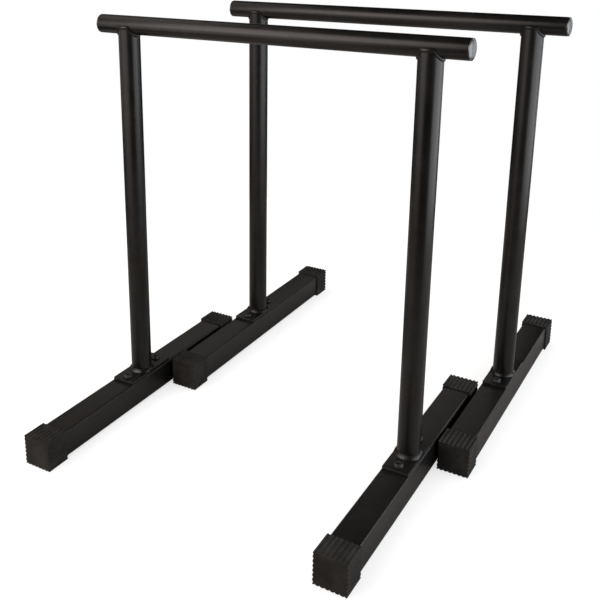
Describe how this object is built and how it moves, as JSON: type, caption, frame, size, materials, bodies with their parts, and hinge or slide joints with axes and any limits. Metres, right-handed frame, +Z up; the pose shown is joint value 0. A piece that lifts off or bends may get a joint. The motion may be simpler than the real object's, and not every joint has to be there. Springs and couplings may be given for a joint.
{
  "type": "parallette bar",
  "caption": "Tall free-standing parallette bars: round grip rails on round uprights, bolted to square foot tubes with ribbed rubber end caps, in satin black.",
  "frame": {"origin": "on the floor, midway between the two frames, at the bottom centre of the bounding box", "axes": "+X along the grip rails to the right, +Y from the front frame to the rear frame along the feet, +Z up"},
  "size_m": [0.763, 0.9726, 0.7685],
  "materials": {
    "satin_black_coat": "satin black powder coat with a fine texture",
    "black_plastic": "semi-gloss moulded black plastic",
    "black_rubber": "matte moulded black rubber",
    "blackened_steel": "black oxide, satin",
    "zinc_plated_steel": "bright zinc plate"
  },
  "bodies": {
    "root": {"front_top_rail": "satin_black_coat", "front_rail_plug_left": "black_plastic", "front_upright_left": "satin_black_coat", "front_base_plate_left": "satin_black_coat", "front_foot_tube_left": "satin_black_coat", "front_foot_cap_left_near": "black_rubber", "front_screw_left_near": "blackened_steel", "front_rivet_nut_left_near": "zinc_plated_steel", "front_foot_cap_left_far": "black_rubber", "front_screw_left_far": "blackened_steel", "front_rivet_nut_left_far": "zinc_plated_steel", "front_rail_plug_right": "black_plastic", "front_upright_right": "satin_black_coat", "front_base_plate_right": "satin_black_coat", "front_foot_tube_right": "satin_black_coat", "front_foot_cap_right_near": "black_rubber", "front_screw_right_near": "blackened_steel", "front_rivet_nut_right_near": "zinc_plated_steel", "front_foot_cap_right_far": "black_rubber", "front_screw_right_far": "blackened_steel", "front_rivet_nut_right_far": "zinc_plated_steel", "rear_top_rail": "satin_black_coat", "rear_rail_plug_left": "black_plastic", "rear_upright_left": "satin_black_coat", "rear_base_plate_left": "satin_black_coat", "rear_foot_tube_left": "satin_black_coat", "rear_foot_cap_left_near": "black_rubber", "rear_screw_left_near": "blackened_steel", "rear_rivet_nut_left_near": "zinc_plated_steel", "rear_foot_cap_left_far": "black_rubber", "rear_screw_left_far": "blackened_steel", "rear_rivet_nut_left_far": "zinc_plated_steel", "rear_rail_plug_right": "black_plastic", "rear_upright_right": "satin_black_coat", "rear_base_plate_right": "satin_black_coat", "rear_foot_tube_right": "satin_black_coat", "rear_foot_cap_right_near": "black_rubber", "rear_screw_right_near": "blackened_steel", "rear_rivet_nut_right_near": "zinc_plated_steel", "rear_foot_cap_right_far": "black_rubber", "rear_screw_right_far": "blackened_steel", "rear_rivet_nut_right_far": "zinc_plated_steel"}
  },
  "joints": []
}
